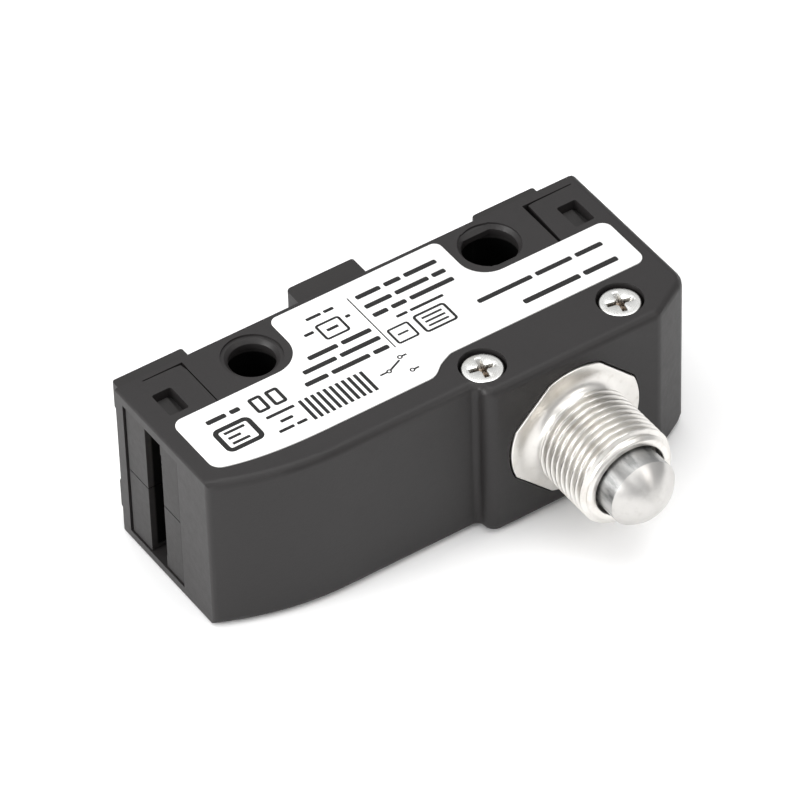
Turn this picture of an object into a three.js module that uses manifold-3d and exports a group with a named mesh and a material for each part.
// Limit switch: snap-action "basic switch" body with a panel-mount plunger.
// Units are millimetres, +Z up.
// Frame: origin midway between the two mounting-hole axes, on the mounting face (z = 0).
//   +X runs along the body, +Y points to the terminal side, the plunger points to -Y.
import * as THREE from 'three';
import { mergeVertices } from 'three/addons/utils/BufferGeometryUtils.js';
import Module from 'manifold-3d';

const wasm = await Module();
wasm.setup();

// ---------------------------------------------------------------- driving dimensions
const THICK = 17.5;            // body thickness, standard basic-switch body
const HOLE_PITCH = 25.4;       // mounting-hole pitch
const X_LEFT = -24.85;         // left end face
const X_RIGHT = 24.5;          // right end face
const Y_BACK = 3.45;           // case edge on the terminal side
const Y_FRONT = -14.4;         // front face of the long part
const Y_BLOCK = -16.2;         // front face of the bushing block
const EDGE_R = 0.8;            // rounding of the long edges, label face
const EDGE_R_BOTTOM = 1.1;     // rounding of the long edges, mounting face
const ROOF_Z = 16.4;           // underside of the case's top wall
const FLOOR_Z = 1.1;           // upper side of the case's bottom wall
const GAP = 0.1;               // assembly clearance between case and base

const HOLE_L_R = 2.17;         // round mounting hole, left
const HOLE_R_R = 2.6;          // right mounting hole, a circle cut by two flats
const HOLE_R_FLAT = 2.2;       // half distance between the flats
const HOLE_SINK_R = 2.86;      // shallow counterbore around each hole
const HOLE_SINK_D = 0.18;
const HOLE_CHAMFER = 0.35;

const AXIS_X = 10.6;           // plunger axis
const AXIS_Z = 8.75;
const TRAVEL = 4.0;            // plunger travel
const THREAD_R = 4.97;         // M10 x 0.75 bushing thread
const THREAD_ROOT_R = 4.52;
const THREAD_PITCH = 0.75;
const Y_SEAT = -16.4;          // front of the bushing flange, the panel seat
const FLANGE_R = 6.92;
const FLANGE_FLAT = 6.4;      // flats across the diagonals
const FLANGE_T = 1.8;
const Y_RIM = -24.75;          // front rim of the bushing
const RIM_BORE_R = 3.68;
const GUIDE_R = 3.5;
const CHAMBER_R = 4.0;         // spring chamber of the bushing
const Y_CHAMBER = -20.5;       // front end of the spring chamber
const PLUNGER_R = 3.4;
const Y_SHOULDER = -26.7;      // plunger edge, where the spherical end starts
const CAP_Y = -24.5;           // centre of the spherical end
const CAP_R = Math.hypot(PLUNGER_R, Y_SHOULDER - CAP_Y);

const SCREW_DX = 7.4;          // bushing screws, each side of the plunger axis
const SCREW_Y = -12.7;
const SCREW_HEAD_R = 1.95;
const SCREW_SINK_R = 2.2;

const MID_Z = 8.8;             // parting plane of the two base halves
const TERM_X = { nc: -20.0, no: -1.3, common: 19.2 };
const CONTACT_X = -11.0;
const PIVOT_X = 20.5;
const PIVOT_Y = -7.2;

// ---------------------------------------------------------------- solid helpers
function toSolid(geometry, matrix) {
  let g = geometry.clone();
  for (const k of Object.keys(g.attributes)) if (k !== 'position') g.deleteAttribute(k);
  if (matrix) g.applyMatrix4(matrix);
  g = mergeVertices(g, 1e-5);
  const p = g.attributes.position.array;
  const idx = [];
  const src = g.index.array;
  for (let i = 0; i < src.length; i += 3) {
    const a = src[i], b = src[i + 1], c = src[i + 2];
    if (a !== b && b !== c && a !== c) idx.push(a, b, c);
  }
  const mesh = new wasm.Mesh({ numProp: 3, vertProperties: new Float32Array(p), triVerts: new Uint32Array(idx) });
  mesh.merge();
  const solid = new wasm.Manifold(mesh);
  if (solid.volume() <= 0) throw new Error('inside-out solid');
  return solid;
}
function toGeometry(solid) {
  const m = solid.getMesh();
  const g = new THREE.BufferGeometry();
  g.setAttribute('position', new THREE.BufferAttribute(new Float32Array(m.vertProperties), 3));
  g.setIndex(new THREE.BufferAttribute(new Uint32Array(m.triVerts), 1));
  g.computeVertexNormals();
  return g;
}
const T = (x, y, z) => new THREE.Matrix4().makeTranslation(x, y, z);
const unite = (list) => list.reduce((a, b) => a.add(b));
const cut = (a, list) => list.reduce((s, b) => s.subtract(b), a);

// axis-aligned block
function block(x0, x1, y0, y1, z0, z1) {
  return toSolid(new THREE.BoxGeometry(x1 - x0, y1 - y0, z1 - z0), T((x0 + x1) / 2, (y0 + y1) / 2, (z0 + z1) / 2));
}
// closed polygon with rounded corners: points are [x, y, radius]
function roundedPoints(pts, perQuarter = 5) {
  const out = [];
  const n = pts.length;
  for (let i = 0; i < n; i++) {
    const [x, y, r = 0] = pts[i];
    if (!r) { out.push(new THREE.Vector2(x, y)); continue; }
    const p = pts[(i + n - 1) % n], q = pts[(i + 1) % n];
    const u = new THREE.Vector2(p[0] - x, p[1] - y).normalize();
    const v = new THREE.Vector2(q[0] - x, q[1] - y).normalize();
    const half = Math.acos(THREE.MathUtils.clamp(u.dot(v), -1, 1)) / 2;
    const d = r / Math.tan(half);
    const c = u.clone().add(v).normalize().multiplyScalar(r / Math.sin(half)).add(new THREE.Vector2(x, y));
    const a0 = Math.atan2(y + u.y * d - c.y, x + u.x * d - c.x);
    let a1 = Math.atan2(y + v.y * d - c.y, x + v.x * d - c.x);
    let da = a1 - a0;
    while (da > Math.PI) da -= 2 * Math.PI;
    while (da < -Math.PI) da += 2 * Math.PI;
    const k = Math.max(2, Math.round(Math.abs(da) / (Math.PI / 2) * perQuarter));
    for (let j = 0; j <= k; j++) out.push(new THREE.Vector2(c.x + r * Math.cos(a0 + da * j / k), c.y + r * Math.sin(a0 + da * j / k)));
  }
  return out;
}
function prismOf(rawPoints, z0, z1, bevel = 0, bevelSegments = 3) {
  const points = rawPoints.filter((p, i) => p.distanceTo(rawPoints[(i + 1) % rawPoints.length]) > 1e-3);
  const shape = new THREE.Shape(points);
  const g = new THREE.ExtrudeGeometry(shape, {
    depth: z1 - z0 - 2 * bevel, bevelEnabled: bevel > 0, bevelThickness: bevel, bevelSize: bevel,
    bevelOffset: -bevel, bevelSegments, steps: 1, curveSegments: 1,
  });
  return toSolid(g, T(0, 0, z0 + bevel));
}
const prism = (pts, z0, z1, bevel = 0, perQuarter = 5) => prismOf(roundedPoints(pts, perQuarter), z0, z1, bevel);
// a prism whose outline lies in X-Z and which runs along Y
function prismY(pts, y0, y1, perQuarter = 5) {
  const s = prismOf(roundedPoints(pts, perQuarter), 0, y1 - y0);
  // local (x, y, z) -> world (x, -z + y1, y)
  return s.transform([1, 0, 0, 0, 0, 0, 1, 0, 0, -1, 0, 0, 0, y1, 0, 1]);
}
// a prism whose outline lies in Y-Z and which runs along X
function prismX(pts, x0, x1, perQuarter = 5) {
  const s = prismOf(roundedPoints(pts, perQuarter), 0, x1 - x0);
  // local (x, y, z) -> world (z + x0, x, y)
  return s.transform([0, 1, 0, 0, 0, 0, 1, 0, 1, 0, 0, 0, x0, 0, 0, 1]);
}
function turned(profile, segments, matrix) {
  const pts = profile.map(([r, h]) => new THREE.Vector2(r, h));
  return toSolid(new THREE.LatheGeometry(pts, segments), matrix);
}
// turned about Z: profile of [radius, z], closed on the axis
const turnedZ = (profile, x, y, segments = 32) =>
  turned(profile, segments, new THREE.Matrix4().makeRotationX(Math.PI / 2).premultiply(T(x, y, 0)));
// turned about the Y direction through (x, z): profile of [radius, y]
const turnedY = (profile, x, z, segments = 32, phase = 0) =>
  turned(profile, segments, new THREE.Matrix4().makeRotationY(phase).premultiply(T(x, 0, z)));
const rodZ = (x, y, r, z0, z1, seg = 32) => turnedZ([[0, z0], [r, z0], [r, z1], [0, z1]], x, y, seg);
const rodY = (x, z, r, y0, y1, seg = 32) => turnedY([[0, y0], [r, y0], [r, y1], [0, y1]], x, z, seg);
// round tube profile along a 3-D curve
function wire(curve, r, steps, sides = 8) {
  const shape = new THREE.Shape();
  for (let i = 0; i < sides; i++) {
    const a = 2 * Math.PI * i / sides;
    if (i === 0) shape.moveTo(r * Math.cos(a), r * Math.sin(a)); else shape.lineTo(r * Math.cos(a), r * Math.sin(a));
  }
  return toSolid(new THREE.ExtrudeGeometry(shape, { steps, bevelEnabled: false, extrudePath: curve, curveSegments: 1 }));
}

const object = new THREE.Group();
object.name = 'limit_switch';
function piece(name, solid, color, roughness, metalness = 0) {
  const mesh = new THREE.Mesh(toGeometry(solid), new THREE.MeshStandardMaterial({ color, roughness, metalness }));
  mesh.name = name;
  object.add(mesh);
  return solid;
}
const BLACK = 0x3a3939, NICKEL = 0xcfcac0, STEEL = 0xd8d6d2, BRASS = 0xb9a265, ZINC = 0xc9c9c9;

// ---------------------------------------------------------------- case
const HX = HOLE_PITCH / 2;
const ARC_R = 28, ARC_CX = -12.5, ARC_CY = Y_FRONT + ARC_R;   // front face curves back towards the left end
function frontArc(radius, xFrom, xTo, k) {
  const pts = [];
  for (let i = 0; i <= k; i++) {
    const x = xFrom + (xTo - xFrom) * i / k;
    pts.push([x, ARC_CY - Math.sqrt(radius * radius - (x - ARC_CX) ** 2)]);
  }
  return pts;
}
const arcY = (x) => ARC_CY - Math.sqrt(ARC_R ** 2 - (x - ARC_CX) ** 2);
// stock with rounded upright corners and rounded long edges, running past the left end and the terminal side
const stock = [
  [X_LEFT - 3, Y_BACK + 3],
  ...frontArc(ARC_R, X_LEFT - 3, X_LEFT, 2), ...frontArc(ARC_R, -23.6, -12.5, 9),
  [1.38, Y_FRONT, 0.6],
  [1.38, Y_BLOCK, 1.15],
  [19.9, Y_BLOCK, 1.4],
  [X_RIGHT, -13.6, 1.9],
  [X_RIGHT, Y_BACK + 3],
];
// the terminal side is cut off square; the left end has small edge roundings of its own
const leftY = arcY(X_LEFT), leftSlope = (arcY(-23.6) - leftY) / (-23.6 - X_LEFT);
const endCut = [[X_LEFT, Y_BACK], [X_LEFT, leftY - 0.005, 0.8], [5, leftY - 0.03 + leftSlope * (5 - X_LEFT)], [40, -30], [40, Y_BACK]];
let caseSolid = prism(stock, -3, THICK, EDGE_R)
  .intersect(prism(stock, 0, THICK + 3, EDGE_R_BOTTOM))
  .intersect(prism(endCut, -1, THICK + 1, 0, 6))
  .intersect(prismY([[X_LEFT, 0, 0.35], [40, 0], [40, THICK], [X_LEFT, THICK, 0.3]], -30, 10, 3));

// hollow for the contact base: left chamber, rear band, both end openings, open back
const hollow = [
  [-23.5, -6.6], ...frontArc(ARC_R - 1.5, -23.3, -12.5, 6), [0.6, -12.9], [0.6, -9.9], [23.0, -9.9],
  [23.0, -6.6], [X_RIGHT + 2, -6.6], [X_RIGHT + 2, 2.25], [23.0, 2.25], [23.0, Y_BACK + 2],
  [-23.5, Y_BACK + 2], [-23.5, 2.25], [X_LEFT - 2, 2.25], [X_LEFT - 2, -6.6],
];
caseSolid = caseSolid.subtract(prism(hollow, FLOOR_Z, ROOF_Z));

// mounting holes with a shallow counterbore and a chamfered rim on both faces
function sinkZ(x, y, r) {
  const top = turnedZ([[0, THICK - 4], [r, THICK - 4], [r, THICK - HOLE_SINK_D - HOLE_CHAMFER], [r + HOLE_CHAMFER, THICK - HOLE_SINK_D],
    [HOLE_SINK_R, THICK - HOLE_SINK_D], [HOLE_SINK_R, THICK + 1], [0, THICK + 1]], x, y, 48);
  const bot = turnedZ([[0, -1], [r + HOLE_CHAMFER + 1, -1], [r + HOLE_CHAMFER, 0], [r, HOLE_CHAMFER], [r, 4], [0, 4]], x, y, 48);
  return [top, bot];
}
const [lt, lb] = sinkZ(-HX, 0, HOLE_L_R);
caseSolid = cut(caseSolid, [lt, lb]);
{
  const flats = block(HX - 4, HX + 4, -HOLE_R_FLAT, HOLE_R_FLAT, -2, THICK + 2);
  const rim = turnedZ([[0, THICK - HOLE_SINK_D], [HOLE_SINK_R, THICK - HOLE_SINK_D], [HOLE_SINK_R, THICK + 1], [0, THICK + 1]], HX, 0, 48);
  const body = rodZ(HX, 0, HOLE_R_R, -2, THICK + 2, 48).intersect(flats);
  // chamfer of the double-D rim, sunk into both faces
  const dPoints = [];
  const aFlat = Math.asin(HOLE_R_FLAT / HOLE_R_R);
  for (const side of [0, Math.PI]) for (let i = 0; i <= 8; i++) {
    const a = side - aFlat + 2 * aFlat * i / 8;
    dPoints.push(new THREE.Vector2(HX + HOLE_R_R * Math.cos(a), HOLE_R_R * Math.sin(a)));
  }
  const c = HOLE_CHAMFER;
  const flare = (zIn, zOut) => {
    const g = new THREE.ExtrudeGeometry(new THREE.Shape(dPoints), { depth: 2, bevelEnabled: true, bevelThickness: c, bevelSize: c, bevelOffset: 0, bevelSegments: 1, steps: 1, curveSegments: 1 });
    return toSolid(g, T(0, 0, zOut > zIn ? zOut : zOut - 2));
  };
  // each flare is widest outside the rim and meets the hole's own outline c below it
  caseSolid = cut(caseSolid, [rim, body, flare(0, THICK - HOLE_SINK_D), flare(1, 0)]);
}

// flexible latch tongues: an L-shaped slit and a window in both broad walls, at both ends
const slitL = (z0, z1) => unite([
  prism([[-22.3, 2.79], [-19.1, 2.74], [-18.2, 2.6], [-18.2, 2.9], [-22.3, 2.9]], z0, z1),
  prism([[-18.32, -3.6], [-18.2, -3.6], [-18.2, 1.8], [-18.15, 2.9], [-18.5, 2.9], [-18.32, 1.8]], z0, z1),
]);
const slitR = (z0, z1) => unite([
  prism([[17.95, 2.2], [19.2, 2.33], [23.3, 2.39], [23.3, 2.5], [17.95, 2.5]], z0, z1),
  prism([[17.92, -3.6], [18.2, -3.6], [18.5, 2.5], [17.95, 2.5]], z0, z1),
]);
const windowL = (z0, z1) => prism([[-22.7, -2.3, 0.2], [-20.7, -2.3, 0.2], [-20.7, 0.8, 0.2], [-22.7, 0.8, 0.2]], z0, z1, 0, 2);
const windowR = (z0, z1) => prism([[20.3, -2.6, 0.2], [22.4, -2.6, 0.2], [22.4, 0.5, 0.2], [20.3, 0.5, 0.2]], z0, z1, 0, 2);
for (const [z0, z1] of [[ROOF_Z - 0.5, THICK + 1], [-1, FLOOR_Z + 0.5]]) {
  caseSolid = cut(caseSolid, [slitL(z0, z1), slitR(z0, z1), windowL(z0, z1), windowR(z0, z1)]);
}

// flange outline: a circle cut by four flats on the diagonals
function flangePoints(radius, flat, perArc = 5) {
  const pts = [];
  const half = Math.acos(flat / radius);
  for (let q = 0; q < 4; q++) {
    const a0 = (q - 1) * Math.PI / 2 + Math.PI / 4 + half;
    const a1 = q * Math.PI / 2 + Math.PI / 4 - half;
    for (let i = 0; i <= perArc; i++) {
      const a = a0 + (a1 - a0) * i / perArc;
      pts.push([AXIS_X + radius * Math.cos(a), AXIS_Z + radius * Math.sin(a)]);
    }
  }
  return pts;
}
const POCKET = 0.14;
caseSolid = cut(caseSolid, [
  prismY(flangePoints(FLANGE_R + POCKET, FLANGE_FLAT + POCKET, 8), Y_BLOCK - 1, Y_SEAT + FLANGE_T + 0.1),
  rodY(AXIS_X, AXIS_Z, 6.4, Y_BLOCK - 1, -9.5, 48),
]);
for (const s of [-1, 1]) {
  const x = AXIS_X + s * SCREW_DX;
  caseSolid = cut(caseSolid, [
    rodZ(x, SCREW_Y, SCREW_SINK_R, 15.4, THICK + 1, 36),
    rodZ(x, SCREW_Y, 1.55, 2.2, 16, 20),
  ]);
}
piece('case', caseSolid, BLACK, 0.55);

// ---------------------------------------------------------------- rating label
const labelFront = [];
for (let i = 0; i <= 10; i++) { const d = 9.6 * i / 10; labelFront.push([-12.5 - d, -11.63 + 0.0085 * d * d + 3.9e-5 * d ** 4]); }
const labelOutline = [
  [-23.19, -3.2, 1.0], [-9.08, -3.2, 3.0], [-9.08, 2.97, 0.8],
  [8.98, 2.97, 0.8], [8.98, -3.44, 2.8],
  [22.93, -3.44, 1.0], [22.93, -9.85, 1.0], [1.75, -9.85, 1.2], [0.3, -10.52, 2.0], [-1.0, -11.62, 1.8],
  ...labelFront, [-23.19, -10.15, 1.3],
].reverse();
piece('rating_label', prism(labelOutline, THICK, THICK + 0.12, 0, 8), 0xf4f3f0, 0.35);

// ---------------------------------------------------------------- contact base, two halves
const BZ0 = FLOOR_Z + GAP, BZ1 = ROOF_Z - GAP;
const baseOutline = [
  [X_LEFT + 0.15, -6.45, 0.2], [-23.4, -6.45], ...frontArc(ARC_R - 1.6, -23.2, -12.5, 6), [0.5, -12.8], [0.5, -9.8], [22.9, -9.8],
  [22.9, -6.45], [X_RIGHT - 0.15, -6.45, 0.2], [X_RIGHT - 0.15, 2.15, 0.2], [22.9, 2.15], [22.9, Y_BACK - 0.1],
  [-23.4, Y_BACK - 0.1], [-23.4, 2.15], [X_LEFT + 0.15, 2.15, 0.2],
];
const CZ0 = 2.6, CZ1 = 14.9;             // floor and roof of the chambers
const TX = TERM_X;
const chambers = [
  // snap mechanism chamber and the three terminal strips
  prism([
    [-22.4, -9.95], [-20.0, -10.95], [-16.0, -11.75], [-12.5, -11.9], [-0.4, -11.9], [-0.4, -8.8], [22.2, -8.8], [22.2, -3.6],
    [TX.common - 2.9, -3.6], [TX.common - 2.9, -4.6], [TX.no + 3.05, -4.6], [TX.no + 3.05, -3.6], [-13.2, -3.6], [-13.2, -4.6],
    [TX.nc + 2.9, -4.6], [TX.nc + 2.9, -3.6], [-23.3, -3.6], [-23.3, -6.0], [-22.4, -6.0],
  ], CZ0, CZ1),
  // clamp spaces
  block(X_LEFT - 1, TX.nc + 2.9, -3.7, -1.1, CZ0, CZ1), block(-23.2, TX.nc + 2.9, -1.2, 0.2, CZ0, CZ1),
  block(TX.no - 2.95, TX.no + 3.05, -3.7, 0.2, CZ0, CZ1), block(TX.no - 6.2, TX.no - 2.9, -3.6, 2.7, CZ0, CZ1), block(TX.no - 6.2, TX.no - 3.7, 2.6, 5, CZ0, CZ1),
  block(TX.common - 2.9, X_RIGHT + 1, -3.7, -1.1, CZ0, CZ1), block(TX.common - 2.9, 22.2, -1.2, 0.2, CZ0, CZ1),
  // wire-entry slots, full height at the end faces
  block(X_LEFT - 1, -22.95, -3.6, -1.1, -1, 20), block(22.6, X_RIGHT + 1, -3.6, -1.1, -1, 20),
  // screw pockets from the back
  ...[TX.nc, TX.no, TX.common].map((x) => rodY(x, AXIS_Z, 2.75, 0.1, 6, 28)),
  // guide hole of the push pin
  rodY(AXIS_X, AXIS_Z, 1.6, -10.5, -8.5, 20),
  // mounting-hole passages
  rodZ(-HX, 0, 2.4, -2, 20, 32), rodZ(HX, 0, 2.72, -2, 20, 32),
];
// each rib stands on the rear band; the left one reaches out behind the case rim
const rib = (x0, x1, y1, z0, z1, over = 0) => prism(over
  ? [[x0, 3.0], [x1, 3.0], [x1, y1, 0.25], [x0 - over, y1, 0.3], [x0 - over, Y_BACK + 0.08], [x0, Y_BACK + 0.08]]
  : [[x0, 3.0], [x1, 3.0], [x1, y1, 0.25], [x0, y1, 0.5]], z0, z1, 0, 3);
const ribs = [[-23.4, -16.55, 5.6, 0.48], [-4.85, 2.35, 6.7], [14.1, 20.98, 5.2]];
function nose(x0, x1, y0, y1, up) {
  const zs = up ? [BZ1 - 0.1, BZ1 + 0.35, BZ1 + 0.05] : [BZ0 + 0.1, BZ0 - 0.35, BZ0 - 0.05];
  const pts = [[y0, zs[0]], [y1, zs[0]], [y1, zs[1]], [y0, zs[2]]];
  return prismX(up ? pts : pts.reverse(), x0, x1);
}
const noses = (up) => [nose(-22.55, -21.15, -2.15, 0.65, up), nose(20.45, 21.95, -2.45, 0.35, up)];
function baseHalf(z0, z1, ribZ, up) {
  let s = prism(baseOutline, z0, z1, 0, 3);
  s = unite([s, ...ribs.map(([x0, x1, y1, over]) => rib(x0, x1, y1, ribZ[0], ribZ[1], over)), ...noses(up)]);
  return cut(s, chambers);
}
piece('base_half_lower', baseHalf(BZ0, MID_Z - 0.05, [BZ0, 4.2], false), 0x413f3f, 0.6);
piece('base_half_upper', baseHalf(MID_Z + 0.05, BZ1, [13.3, BZ1], true), 0x413f3f, 0.6);

// ---------------------------------------------------------------- threaded bushing
{
  const NECK = 0.9, NECK_FLARE = 1.4;     // flared neck between flange and thread
  const prof = [[0, Y_SEAT + 0.6], [6.3, Y_SEAT + 0.6], [6.3, Y_SEAT]];
  // neck fillet
  for (let i = 0; i <= 3; i++) {
    const a = Math.PI / 2 * i / 3;
    prof.push([THREAD_ROOT_R + NECK_FLARE * (1 - Math.sin(a)), Y_SEAT - NECK * (1 - Math.cos(a))]);
  }
  const rings = 9, y0 = Y_SEAT - NECK - 0.25;
  for (let i = 0; i < rings; i++) {
    const y = y0 - i * THREAD_PITCH;
    prof.push([THREAD_ROOT_R, y], [THREAD_R, y - THREAD_PITCH * 0.42], [THREAD_R, y - THREAD_PITCH * 0.58]);
  }
  const yEnd = y0 - rings * THREAD_PITCH;
  prof.push([THREAD_ROOT_R, yEnd], [THREAD_ROOT_R + 0.2, yEnd - 0.15], [4.35, Y_RIM], [0, Y_RIM]);
  const front = turnedY(prof.reverse(), AXIS_X, AXIS_Z, 36);
  const flange = prismY(flangePoints(FLANGE_R, FLANGE_FLAT, 6), Y_SEAT, Y_SEAT + FLANGE_T);
  const barrel = turnedY([[0, Y_SEAT + 1], [5.75, Y_SEAT + 1], [5.75, -11.05], [6.3, -11.05], [6.3, -10.2], [0, -10.2]], AXIS_X, AXIS_Z, 36);
  const bore = turnedY([[0, Y_RIM - 1], [RIM_BORE_R, Y_RIM - 1], [RIM_BORE_R, -23.5], [GUIDE_R, -23.3], [GUIDE_R, Y_CHAMBER], [CHAMBER_R, Y_CHAMBER],
    [CHAMBER_R, -11.4], [4.75, -11.4], [4.75, -10.8], [CHAMBER_R, -10.8], [CHAMBER_R, -9], [0, -9]], AXIS_X, AXIS_Z, 36);
  piece('threaded_bushing', cut(unite([front, flange, barrel]), [bore]), NICKEL, 0.3, 1);
}

// ---------------------------------------------------------------- plunger group
{
  // cup and skirt for the overtravel spring, stop collar, shank, crisp edge, spherical end
  const prof = [[0, -22.3], [2.45, -22.3], [2.45, -16.5], [3.1, -16.5], [3.1, -19.6], [3.9, -19.6], [3.9, Y_CHAMBER + 0.1], [PLUNGER_R, Y_CHAMBER + 0.1],
    [PLUNGER_R, Y_SHOULDER]];
  const a0 = Math.asin((CAP_Y - Y_SHOULDER) / CAP_R);
  for (let i = 1; i <= 7; i++) {
    const a = a0 + (Math.PI / 2 - a0) * i / 7;
    prof.push([i === 7 ? 0 : CAP_R * Math.cos(a), CAP_Y - CAP_R * Math.sin(a)]);
  }
  piece('plunger', turnedY(prof.reverse(), AXIS_X, AXIS_Z, 36), STEEL, 0.25, 1);
}
class Coil extends THREE.Curve {
  constructor(r, y0, y1, turns, ground) { super(); Object.assign(this, { r, y0, y1, turns, ground }); }
  getPoint(t, target = new THREE.Vector3()) {
    // closed end turns, open middle turns
    const g = this.ground, n = this.turns, u = t * n;
    const wireStep = this.pitchEnd;
    let y;
    const mid = (this.y1 - this.y0 - 2 * g * wireStep) / (n - 2 * g);
    if (u < g) y = this.y0 + u * wireStep;
    else if (u > n - g) y = this.y1 - (n - u) * wireStep;
    else y = this.y0 + g * wireStep + (u - g) * mid;
    const a = 2 * Math.PI * u;
    return target.set(AXIS_X + this.r * Math.cos(a), y, AXIS_Z + this.r * Math.sin(a));
  }
}
function coilSpring(rMean, rWire, y0, y1, turns, ground) {
  const c = new Coil(rMean, y0 + rWire, y1 - rWire, turns, ground);
  c.pitchEnd = rWire * 2.06;
  c.arcLengthDivisions = 400;
  return wire(c, rWire, Math.round(turns * 14), 6);
}
piece('overtravel_spring', coilSpring(1.95, 0.18, -22.25, -16.65, 4.5, 0.75), STEEL, 0.3, 1);
piece('return_spring', coilSpring(3.6, 0.25, -19.55, -12.35, 4.5, 0.75), STEEL, 0.3, 1);
piece('spring_seat_washer', turnedY([[1.7, -12.3], [3.9, -12.3], [3.9, -11.5], [1.7, -11.5], [1.7, -12.3]], AXIS_X, AXIS_Z, 28), ZINC, 0.35, 1);
{
  const ring = turnedY([[3.3, -11.35], [4.65, -11.35], [4.65, -10.85], [3.3, -10.85], [3.3, -11.35]], AXIS_X, AXIS_Z, 32);
  piece('retaining_ring', ring.subtract(block(AXIS_X - 1.2, AXIS_X + 1.2, -12, -10, AXIS_Z, AXIS_Z + 6)), STEEL, 0.35, 1);
}
piece('push_pin', turnedY([[0, -16.6], [2.3, -16.6], [2.3, -15.8], [1.5, -15.6], [1.5, -7.9], [0, -7.4]], AXIS_X, AXIS_Z, 24), 0xd8cfb8, 0.5);

// ---------------------------------------------------------------- bushing screws
function crossRecess(size, x, y, zTop, depth, turn) {
  const w = 0.24;
  const taper = (ax) => {
    const h = size, b = size * 0.45;
    const pts = [[-b, zTop - depth], [b, zTop - depth], [h, zTop + 0.3], [-h, zTop + 0.3]];
    return ax === 'x' ? prismY(pts.map(([u, z]) => [x + u, z]), y - w, y + w) : prismX(pts.map(([u, z]) => [y + u, z]), x - w, x + w);
  };
  return unite([taper('x'), taper('y')]).translate([-x, -y, 0]).rotate([0, 0, turn]).translate([x, y, 0]);
}
function bushingScrew(name, x, turn) {
  const z = 17.2;
  const head = turnedZ([[0, 3.0], [0.9, 3.0], [1.42, 3.9], [1.42, 15.5], [SCREW_HEAD_R, 15.5], [SCREW_HEAD_R, z - 0.25], [1.75, z - 0.03], [1.6, z], [0, z]], x, SCREW_Y, 32);
  piece(name, head.subtract(crossRecess(1.26, x, SCREW_Y, z, 0.9, turn)), ZINC, 0.3, 1);
}
bushingScrew('bushing_screw_left', AXIS_X - SCREW_DX, -13);
bushingScrew('bushing_screw_right', AXIS_X + SCREW_DX, -13);

// ---------------------------------------------------------------- terminals
const PY0 = -4.5, PY1 = -3.7;          // terminal plates
const wideZ = [3.0, 14.5], slimZ = [6.0, 11.5];
const plate = (cx, half = 2.75) => block(cx - half, cx + half, PY0, PY1, wideZ[0], wideZ[1]);
const tapped = (x) => rodY(x, AXIS_Z, 1.6, -5.5, -3, 20);
piece('terminal_common', unite([
  plate(TX.common), block(TX.common, 22.1, PY0, PY1, slimZ[0], slimZ[1]), block(21.3, 22.1, -8.3, PY1, slimZ[0], slimZ[1]),
]).subtract(tapped(TX.common)), BRASS, 0.35, 1);
piece('terminal_no', unite([
  plate(TX.no), block(-12.9, TX.no, PY0, PY1, slimZ[0], slimZ[1]),
]).subtract(tapped(TX.no)), BRASS, 0.35, 1);
piece('terminal_nc', unite([
  block(TX.nc - 2.75, TX.nc + 2.75, PY0, PY1, wideZ[0], wideZ[1]), block(-22.2, -21.4, -9.9, PY1, slimZ[0], slimZ[1]),
  block(-22.2, -9.2, -9.9, -9.1, slimZ[0], slimZ[1]),
]).subtract(tapped(TX.nc)), BRASS, 0.35, 1);
for (const [tag, x] of Object.entries(TX)) {
  const plateSolid = prismY([[x - 2.6, 3.1, 0.4], [x + 2.6, 3.1, 0.4], [x + 2.6, 14.4, 0.4], [x - 2.6, 14.4, 0.4]], -1.0, -0.1, 2);
  piece('clamp_plate_' + tag, plateSolid.subtract(rodY(x, AXIS_Z, 1.65, -2, 1, 20)), ZINC, 0.35, 1);
  const body = turnedY([[0, -4.9], [1.0, -4.9], [1.45, -4.5], [1.45, 0.15], [2.5, 0.15], [2.5, 1.7], [2.2, 2.1], [0, 2.1]], x, AXIS_Z, 28);
  const slot = block(x - 2.7, x + 2.7, 1.2, 2.6, AXIS_Z - 0.4, AXIS_Z + 0.4);
  piece('terminal_screw_' + tag, body.subtract(slot), ZINC, 0.35, 1);
}
piece('fixed_contact_nc', rodY(CONTACT_X, AXIS_Z, 1.8, -9.05, -8.05, 24), 0xdedede, 0.25, 1);
piece('fixed_contact_no', rodY(CONTACT_X, AXIS_Z, 1.8, -4.95, -4.55, 24), 0xdedede, 0.25, 1);

// ---------------------------------------------------------------- snap blade group
{
  const z0 = AXIS_Z - 2.4, z1 = AXIS_Z + 2.4;
  let blade = block(-13.2, 21.1, PIVOT_Y - 0.15, PIVOT_Y + 0.15, z0, z1);
  blade = cut(blade, [
    block(-7.5, 5.5, PIVOT_Y - 1, PIVOT_Y + 1, AXIS_Z - 1.3, AXIS_Z + 1.3),
    rodY(CONTACT_X, AXIS_Z, 1.1, -9, -6, 20),
  ]);
  piece('snap_blade', blade, 0xc08a52, 0.35, 1);
  piece('moving_contact', turnedY([[0, -8.0], [1.7, -8.0], [1.7, -7.4], [1.05, -7.4], [1.05, -7.0], [1.7, -7.0], [1.7, -6.6], [0, -6.6]], CONTACT_X, AXIS_Z, 24), 0xdedede, 0.25, 1);
  // bowed over-centre tongue, seated in the blade's window
  const t = 0.25, pts = [], R = 13.5, cx = -1.0, cy = PIVOT_Y - 1.55 + R;
  for (let i = 0; i <= 12; i++) { const x = -7.35 + 12.7 * i / 12; pts.push([x, cy - Math.sqrt(R * R - (x - cx) ** 2)]); }
  for (let i = 12; i >= 0; i--) { const x = -7.35 + 12.7 * i / 12; pts.push([x, cy - Math.sqrt((R - t) ** 2 - (x - cx) ** 2)]); }
  piece('snap_tongue', prism(pts, AXIS_Z - 1.15, AXIS_Z + 1.15), 0xc08a52, 0.35, 1);
}

export default object;
